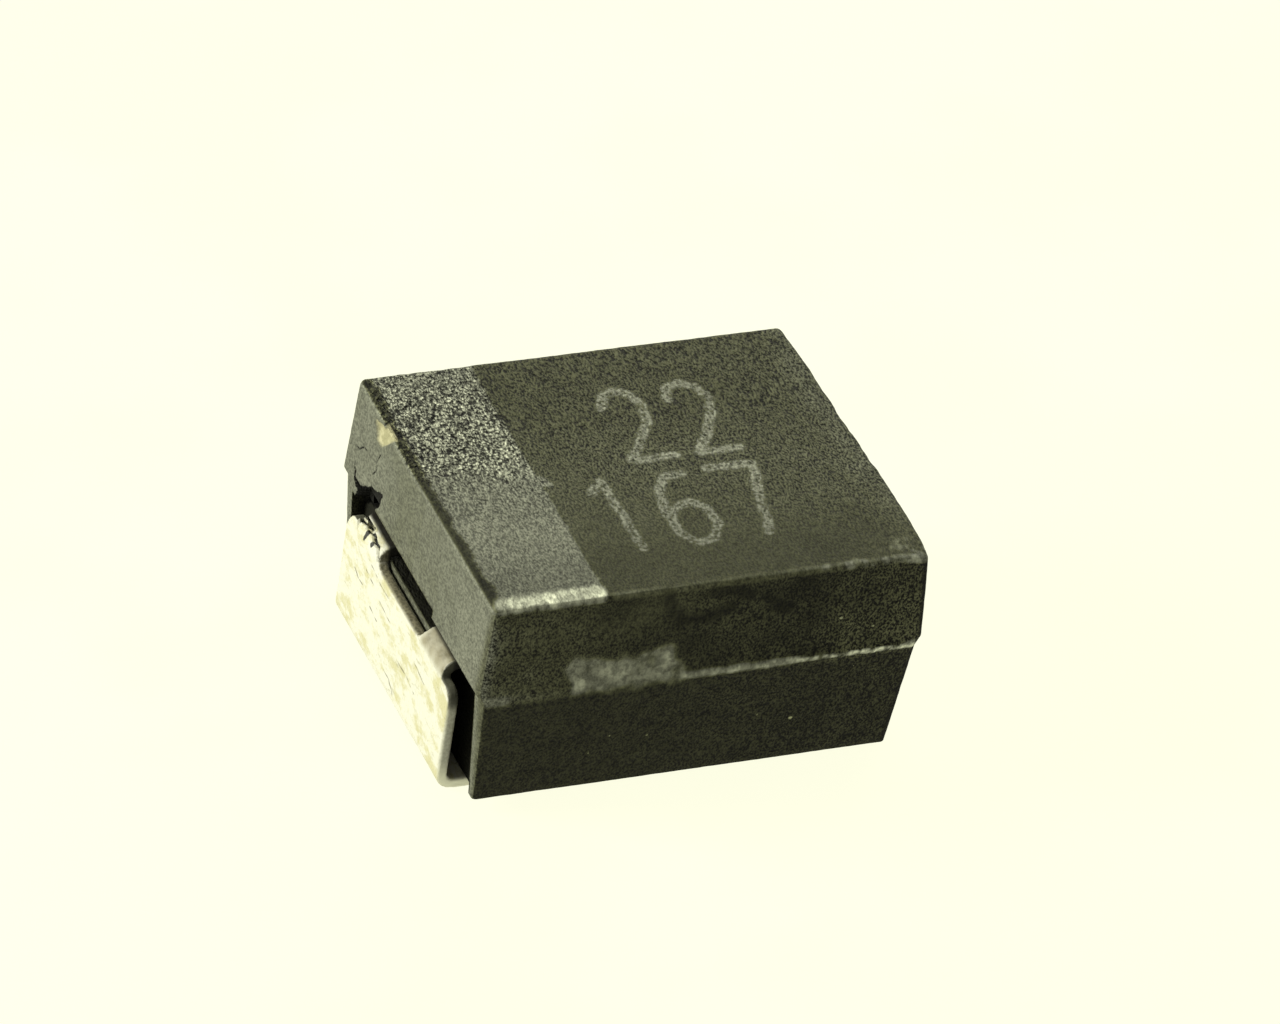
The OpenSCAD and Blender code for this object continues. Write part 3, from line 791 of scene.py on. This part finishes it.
def make_terminal(name, node, voxel):
    """A terminal as a fine copy of its CAD node, with its unevenness, wear and masks."""
    obj = remeshed(name, node, voxel)
    s = mesh_skin(obj.data)
    torn = node == "anode_terminal"
    height = 0.002 * s.layered(0.5, 81) + 0.0012 * s.noise(0.04, 82)
    masks = terminal_masks(s)
    if torn:
        wear, more = anode_wear(s, masks["shoulder"])
        height += wear
        masks.update(more)
    height *= 1 - smooth(0.5, 0.9, -s.nz) * (s.z < 0.05)
    points = s.points + s.normals * height[:, None]
    points[:, 2] = np.maximum(points[:, 2], FOOT_LEVEL)
    if torn:
        points = bent_shoulder(points)
    obj.data.vertices.foreach_set("co", (points * MM).ravel())
    add_masks(obj.data, masks)
    obj.data.materials.clear()
    obj.data.update()
    shade_smooth(obj, TERMINAL_SHARP)
    return obj


# ---------------- materials


class Nodes:
    """Short names for building one node material. Places are in millimetres."""

    def __init__(self, name):
        self.material = bpy.data.materials.new(name)
        self.material.use_nodes = True
        tree = self.material.node_tree
        self.new, self.link = tree.nodes.new, tree.links.new
        self.shader = tree.nodes["Principled BSDF"]
        coordinate = self.new("ShaderNodeTexCoord")
        scale = self.new("ShaderNodeVectorMath")
        scale.operation = "SCALE"
        scale.inputs["Scale"].default_value = 1 / MM
        self.link(coordinate.outputs["Object"], scale.inputs[0])
        self.where = scale.outputs[0]

    def put(self, value, socket):
        """Sets a socket to a number or colour, or links it."""
        if isinstance(value, bpy.types.NodeSocket):
            self.link(value, socket)
        elif isinstance(value, (tuple, list)) and len(value) == 3 and len(socket.default_value) == 4:
            socket.default_value = (*value, 1)
        else:
            socket.default_value = value

    def noise(self, size, detail, roughness, where=None, shift=0.0):
        """Noise from 0 to 1 with features of a size in millimetres."""
        node = self.new("ShaderNodeTexNoise")
        node.noise_dimensions = "4D"
        node.inputs["W"].default_value = shift
        node.inputs["Scale"].default_value = 1 / size
        node.inputs["Detail"].default_value = detail
        node.inputs["Roughness"].default_value = roughness
        self.link(where or self.where, node.inputs["Vector"])
        return node.outputs["Fac"]

    def cells(self, size):
        """Distance to the middle of the nearest cell, for cells of a size in millimetres."""
        node = self.new("ShaderNodeTexVoronoi")
        node.inputs["Scale"].default_value = 1 / size
        self.link(self.where, node.inputs["Vector"])
        return node.outputs["Distance"]

    def stretched(self, x, y, z):
        """Places scaled along each axis: below 1 draws the noise out along it."""
        node = self.new("ShaderNodeMapping")
        node.inputs["Scale"].default_value = (x, y, z)
        self.link(self.where, node.inputs["Vector"])
        return node.outputs[0]

    def mask(self, name):
        """The number that the mesh keeps under this name."""
        node = self.new("ShaderNodeAttribute")
        node.attribute_name = name
        return node.outputs["Fac"]

    def math(self, operation, a, b):
        """One Math node on two values."""
        node = self.new("ShaderNodeMath")
        node.operation = operation
        self.put(a, node.inputs[0])
        self.put(b, node.inputs[1])
        return node.outputs[0]

    def plus(self, a, b):
        """Sum of two values."""
        return self.math("ADD", a, b)

    def times(self, a, b):
        """Product of two values."""
        return self.math("MULTIPLY", a, b)

    def ramp(self, value, low, high, start=0.0, end=1.0):
        """Takes low..high to start..end smoothly."""
        node = self.new("ShaderNodeMapRange")
        node.interpolation_type = "SMOOTHSTEP"
        self.put(value, node.inputs["Value"])
        for key, number in zip(("From Min", "From Max", "To Min", "To Max"), (low, high, start, end)):
            node.inputs[key].default_value = number
        return node.outputs["Result"]

    def mix(self, share, a, b):
        """Colour between a and b, b where the share is 1."""
        node = self.new("ShaderNodeMix")
        node.data_type = "RGBA"
        self.put(share, node.inputs[0])
        self.put(a, node.inputs[6])
        self.put(b, node.inputs[7])
        return node.outputs[2]

    def combined(self, *channels):
        """Colour from its red, green and blue values."""
        node = self.new("ShaderNodeCombineColor")
        for value, socket in zip(channels, node.inputs):
            self.link(value, socket)
        return node.outputs[0]

    def bump(self, height, distance, strength=1.0):
        """Normal for a height from 0 to 1, over a distance in millimetres."""
        node = self.new("ShaderNodeBump")
        node.inputs["Distance"].default_value = distance * MM
        node.inputs["Strength"].default_value = strength
        self.link(height, node.inputs["Height"])
        return node.outputs[0]

    def finish(self, color, roughness, normal=None, metallic=0.0, specular=0.5):
        """Fills the shader in and returns the material."""
        sockets = self.shader.inputs
        self.put(color, sockets["Base Color"])
        self.put(roughness, sockets["Roughness"])
        sockets["Metallic"].default_value = metallic
        sockets["Specular IOR Level"].default_value = specular
        if normal is not None:
            self.link(normal, sockets["Normal"])
        return self.material


def srgb(r, g, b):
    """Linear colour of an sRGB one given from 0 to 255."""
    return tuple(((c / 255 + 0.055) / 1.055) ** 2.4 if c > 10 else c / 255 / 12.92 for c in (r, g, b))


# Resin: sizes of its grains, then light added to or taken from its tone
FINE_GRAIN, MEDIUM_GRAIN, PEBBLE, PEBBLE_GRAIN, STROKE_GRAIN = 0.0155, 0.045, 0.033, 0.027, 0.03
BAND_LIGHT = 1.4
STROKE_LIGHT, STROKE_CRISP_LIGHT = 0.055, 0.13
WEAR_AND_HIGHLIGHT_LIGHT = 0.45
SPECK_LIGHT = 0.35
BREAKOUT_AND_CRACK_SHADE = 0.96
DARKEST = 0.0012
GREEN_SHARE = 1.03  # green and blue as shares of red; blue grows with the lightness
BLUE_SHARE_DARK, BLUE_SHARE_LIGHT = 0.57, 0.8
FLAKE_DARK, FLAKE_LIGHT = (0.25, 0.235, 0.14), (0.35, 0.33, 0.21)
RESIN_SPECULAR = 0.12


def marking_light(m, grain, crisp):
    """Light of the marking's strokes: ragged, speckled and weaker along their middles."""
    width = m.plus(m.mask("stroke"), m.times(crisp, m.times(grain, 0.014)))
    speckle = m.ramp(m.noise(STROKE_GRAIN, 2, 0.6, shift=8), 0.36, 0.62, 0.1, 1.3)
    middle = m.ramp(m.mask("stroke"), 0.004, 0.022, 0.55, 1)
    return m.times(m.ramp(width, 0.018, 0.05, 1, 0), m.times(speckle, middle))


def resin():
    """Worn black epoxy: grain, etched band, marking, light wear and painted highlights, chip, cracks and
    break-out with painted shade in them.
    """
    m = Nodes("resin")
    drawn = m.stretched(1, 0.6, 0.8)
    fine = m.noise(FINE_GRAIN, 2, 0.6, where=drawn)
    medium = m.noise(MEDIUM_GRAIN, 2, 0.5, where=drawn, shift=3)
    grain = m.plus(m.ramp(fine, 0.36, 0.64, -0.95, 0.95), m.ramp(medium, 0.36, 0.64, -0.2, 0.2))
    pebble = m.plus(m.ramp(m.cells(PEBBLE), 0.35, 0.75, 0.8, -0.65),
                    m.ramp(m.noise(PEBBLE_GRAIN, 1, 0.5, where=drawn, shift=6), 0.36, 0.62, -0.32, 1.1))
    crisp, coarse, wear_and_highlight = m.mask("crisp"), m.mask("coarse"), m.mask("wear_and_highlight")
    stroke = marking_light(m, grain, crisp)
    speck = m.ramp(m.mask("speck"), -0.006, 0.004, SPECK_LIGHT, 0)
    beads = m.ramp(medium, 0.38, 0.62, 0.5, 1.0)
    # Painted shade inside the break-out and the hairline cracks
    dark = m.math("MAXIMUM", m.ramp(m.mask("shaded_hollow"), 0.006, 0.014, 1, 0),
                  m.ramp(m.mask("crack"), 0.003, 0.01, 1, 0))

    base = m.times(m.mask("tone"), m.plus(1.0, m.times(m.mask("band"), BAND_LIGHT)))
    value = m.times(base, m.plus(1.0, m.times(grain, crisp)))
    value = m.times(value, m.plus(1.0, m.times(coarse, pebble)))
    value = m.plus(value, m.times(stroke, m.plus(STROKE_LIGHT, m.times(crisp, STROKE_CRISP_LIGHT))))
    # Adds the lighter wear and the painted highlights
    value = m.plus(value, m.times(m.times(wear_and_highlight, beads), WEAR_AND_HIGHLIGHT_LIGHT))
    value = m.plus(value, speck)
    value = m.times(value, m.math("SUBTRACT", 1.0, m.times(dark, BREAKOUT_AND_CRACK_SHADE)))
    value = m.math("MAXIMUM", value, DARKEST)

    # the hue follows a lightness without grain, so that the grain has no colour of its own
    ungrained = m.plus(base, m.times(wear_and_highlight, 0.2))
    ungrained = m.plus(ungrained, m.times(m.plus(stroke, speck), 0.1))
    blue = m.ramp(ungrained, 0.035, 0.1, BLUE_SHARE_DARK, BLUE_SHARE_LIGHT)
    color = m.combined(value, m.times(value, GREEN_SHARE), m.times(value, blue))
    color = m.mix(m.mask("chip"), color, m.mix(m.ramp(medium, 0.4, 0.6), FLAKE_DARK, FLAKE_LIGHT))

    height = m.times(m.plus(m.times(fine, 0.7), medium), m.mask("relief"))
    height = m.plus(height, m.times(m.times(coarse, pebble), 0.5))
    return m.finish(color, m.ramp(fine, 0.3, 0.7, 0.65, 0.85), m.bump(height, 0.03), specular=RESIN_SPECULAR)


TIN_FINE, TIN_BLOTCH, TIN_STREAK = 0.025, 0.14, 0.05
# Colours of the tin plate, its cut edges and its wear, and of painted shade and highlights
PALE_TIN, WARM_TIN = (0.47, 0.465, 0.4), (0.37, 0.35, 0.2)
RUBBED_TIN, SPOTTED_TIN = (0.2, 0.19, 0.1), (0.2, 0.185, 0.1)
EDGE_DARK, EDGE_PALE, EDGE_FLOOR_HIGHLIGHT = (0.34, 0.34, 0.27), (0.46, 0.46, 0.38), (0.8, 0.8, 0.62)
SILL_DARK, SILL_PALE = (0.07, 0.065, 0.04), (0.17, 0.155, 0.1)
SHOULDER_SHADE_AND_DIRT = (0.06, 0.06, 0.042)
TAN_PALE, TAN_DARK = (0.17, 0.152, 0.095), (0.07, 0.06, 0.033)
SCRATCH_DARK = (0.05, 0.045, 0.025)
HOLE_SHADE = (0.006, 0.006, 0.004)
SHADE_DARK = (0.012, 0.011, 0.008)
TIN_SPECULAR = 0.4


def tin(name, torn):
    """Matte tin plate: blotches, rubbed streaks, edges, and the anode terminal's tear and scratches, with
    painted shade and highlights.
    """
    m = Nodes(name)
    fine = m.noise(TIN_FINE, 3, 0.6)
    broad = m.noise(TIN_BLOTCH, 4, 0.65, where=m.stretched(1, 0.6, 1), shift=2)
    rubbed = m.noise(TIN_STREAK, 4, 0.7, where=m.stretched(1, 0.25, 1), shift=4)
    spots = m.ramp(fine, 0.35, 0.65)
    color = m.mix(m.ramp(broad, 0.46, 0.62, 0, 0.9), PALE_TIN, WARM_TIN)
    color = m.mix(m.ramp(rubbed, 0.57, 0.68, 0, 0.6), color, RUBBED_TIN)
    color = m.mix(m.ramp(fine, 0.6, 0.68, 0, 0.4), color, SPOTTED_TIN)
    # Cut edges, paler near the floor as a painted highlight
    color = m.mix(m.mask("edge"), color, m.mix(m.mask("low"), m.mix(spots, EDGE_DARK, EDGE_PALE), EDGE_FLOOR_HIGHLIGHT))
    # Painted shade on the shoulders beside the legs, partly dirt
    color = m.mix(m.mask("shoulder"), color, SHOULDER_SHADE_AND_DIRT)
    color = m.mix(m.mask("sill"), color, m.mix(spots, SILL_DARK, SILL_PALE))
    if torn:
        color = m.mix(m.mask("tan"), color, m.mix(m.ramp(broad, 0.4, 0.6), TAN_PALE, TAN_DARK))
        color = m.mix(m.ramp(m.mask("scratch"), 0.003, 0.009, 0.75, 0), color, SCRATCH_DARK)
        # Painted shade in the tear and the pits
        hole = m.plus(m.mask("hole"), m.ramp(fine, 0.3, 0.7, -0.004, 0.004))
        color = m.mix(m.ramp(hole, 0.008, 0.014, 1, 0), color, HOLE_SHADE)
    color = m.mix(m.mask("shade"), color, SHADE_DARK)
    normal = m.bump(m.plus(fine, rubbed), 0.006, 0.8)
    return m.finish(color, m.ramp(fine, 0.3, 0.7, 0.45, 0.65), normal, specular=TIN_SPECULAR)


# Finishes of the inner pieces: name, darker and paler sRGB colour, size of the grain, roughness, metallic
INNER_FINISHES = {
    "tantalum_pellet": ("sintered", (70, 70, 74), (120, 120, 124), 0.03, 0.7, 0.6),
    "insulating_washer": ("fluoropolymer", (222, 222, 216), (240, 240, 236), 0.08, 0.4, 0.0),
    "manganese_dioxide_coat": ("manganese_dioxide", (24, 22, 21), (52, 49, 46), 0.03, 0.8, 0.0),
    "graphite_coat": ("graphite", (52, 52, 54), (82, 82, 86), 0.04, 0.6, 0.0),
    "silver_coat": ("silver_paint", (176, 174, 168), (214, 212, 206), 0.04, 0.5, 0.6),
    "silver_adhesive": ("silver_glue", (160, 158, 150), (198, 196, 188), 0.05, 0.5, 0.6),
}
COAT_RELIEF, WIRE_RELIEF = 0.004, 0.003
WIRE_STREAK = 0.02
WIRE_DARK, WIRE_PALE = (120, 120, 126), (170, 170, 176)


def coated(name, dark, pale, size, roughness, metallic):
    """Finish of an inner piece: two colours over a grain of one size."""
    m = Nodes(name)
    grain = m.noise(size, 4, 0.65)
    color = m.mix(m.ramp(grain, 0.3, 0.7), srgb(*dark), srgb(*pale))
    rough = m.ramp(grain, 0.3, 0.7, roughness - 0.1, roughness + 0.1)
    return m.finish(color, rough, m.bump(grain, COAT_RELIEF), metallic)


def drawn_wire():
    """Bare tantalum wire with fine lines along it."""
    m = Nodes("drawn_wire")
    streaks = m.noise(WIRE_STREAK, 3, 0.6, where=m.stretched(0.05, 1, 1))
    color = m.mix(m.ramp(streaks, 0.3, 0.7), srgb(*WIRE_DARK), srgb(*WIRE_PALE))
    return m.finish(color, m.ramp(streaks, 0.3, 0.7, 0.25, 0.45), m.bump(streaks, WIRE_RELIEF), 1.0)


def paint_inner_pieces():
    """Gives the CAD nodes inside the case their materials."""
    finishes = {node: coated(*values) for node, values in INNER_FINISHES.items()}
    finishes["riser_wire"] = drawn_wire()
    for node, material in finishes.items():
        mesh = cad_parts[node].data
        mesh.materials.clear()
        mesh.materials.append(material)


# ---------------- stage

FLOOR_SHADES = (0.05, 0.05, 0.045), (0.07, 0.07, 0.06)
FLOOR_GLOW, FLOOR_STRENGTH = (1, 1, 0.79, 1), 0.98
LIGHT = (1.0, 1.0, 0.86)
WORLD_STRENGTH = 0.3
# Lights: name, place and size in millimetres, power in watts
LIGHTS = [("key", (-70, 22, 34), 30, 0.115), ("above", (5, 15, 80), 40, 0.02),
          ("behind", (60, 60, 30), 50, 0.05)]
LIGHT_AIM = (0, 0, 1)

# Camera: turn, height and roll in degrees, then its lens and its distance, aim and framing in millimetres
AZIMUTH, ELEVATION, ROLL = -27.496, 36.306, 9.712
SENSOR = 36
LENS = 250.5121875
DISTANCE = 63.63
CAMERA_AIM = (0, 0, 0.95)
SIDEWAYS, UPWARDS = 0.093, 0.375
CLIP_START = 0.001  # in metres, as Blender takes it


def make_floor():
    """Plain pale floor, which glows so that it stays as even as the photograph's."""
    bpy.ops.mesh.primitive_plane_add(size=2, location=(0, 0, 0))
    floor = bpy.context.object
    floor.name = "floor"
    m = Nodes("paper")
    color = m.mix(m.ramp(m.noise(3.0, 3, 0.5), 0.4, 0.6), *FLOOR_SHADES)
    material = m.finish(color, 0.9, specular=0.0)
    m.shader.inputs["Emission Color"].default_value = FLOOR_GLOW
    m.shader.inputs["Emission Strength"].default_value = FLOOR_STRENGTH
    floor.data.materials.append(material)


def area_light(name, at, size, power):
    """Square soft light aimed at the part."""
    light = bpy.data.lights.new(name, "AREA")
    light.size = size * MM
    light.energy = power
    light.color = LIGHT
    obj = new_object(name, light)
    obj.location = Vector(at) * MM
    aim = Vector(LIGHT_AIM) * MM - obj.location
    obj.rotation_euler = aim.to_track_quat("-Z", "Y").to_euler()


def make_lights():
    """Soft studio light: low from the anode end, and weaker from above and behind."""
    world = bpy.data.worlds.new("studio")
    world.use_nodes = True
    background = world.node_tree.nodes["Background"]
    background.inputs["Color"].default_value = (*LIGHT, 1)
    background.inputs["Strength"].default_value = WORLD_STRENGTH
    bpy.context.scene.world = world
    for name, at, size, power in LIGHTS:
        area_light(name, at, size, power)
    bpy.context.scene.view_settings.view_transform = "Standard"


def make_camera():
    """Camera at the photograph's viewing angle."""
    azimuth, elevation, roll = (math.radians(angle) for angle in (AZIMUTH, ELEVATION, ROLL))
    back = Vector((math.sin(azimuth) * math.cos(elevation), -math.cos(azimuth) * math.cos(elevation),
                   math.sin(elevation)))
    right = Vector((math.cos(azimuth), math.sin(azimuth), 0))
    up = back.cross(right)
    right, up = (math.cos(roll) * right + math.sin(roll) * up, math.cos(roll) * up - math.sin(roll) * right)
    at = Vector(CAMERA_AIM) + SIDEWAYS * right + UPWARDS * up + DISTANCE * back
    data = bpy.data.cameras.new("camera")
    data.sensor_width = SENSOR
    data.lens = LENS
    data.clip_start = CLIP_START
    camera = new_object("camera", data)
    turn = Matrix((right, up, back)).transposed().to_4x4()
    camera.matrix_world = Matrix.Translation(at * MM) @ turn
    bpy.context.scene.camera = camera


# ---------------- build


def main():
    """Builds the stage and the pieces."""
    make_camera()
    make_floor()
    make_lights()
    case = make_case()
    anode = make_terminal("terminal_of_the_anode", "anode_terminal", ANODE_VOXEL)
    cathode = make_terminal("terminal_of_the_cathode", "cathode_terminal", CATHODE_VOXEL)
    pieces = [
        (case, resin(), "epoxy", "molded_case"),
        (anode, tin("torn_tin", True), "tin", "anode_terminal"),
        (cathode, tin("tin", False), "tin", "cathode_terminal"),
    ]
    for piece, material, slot, node in pieces:
        piece.data.materials.append(material)
        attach(piece, "root")
        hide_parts(node)
    paint_inner_pieces()


main()
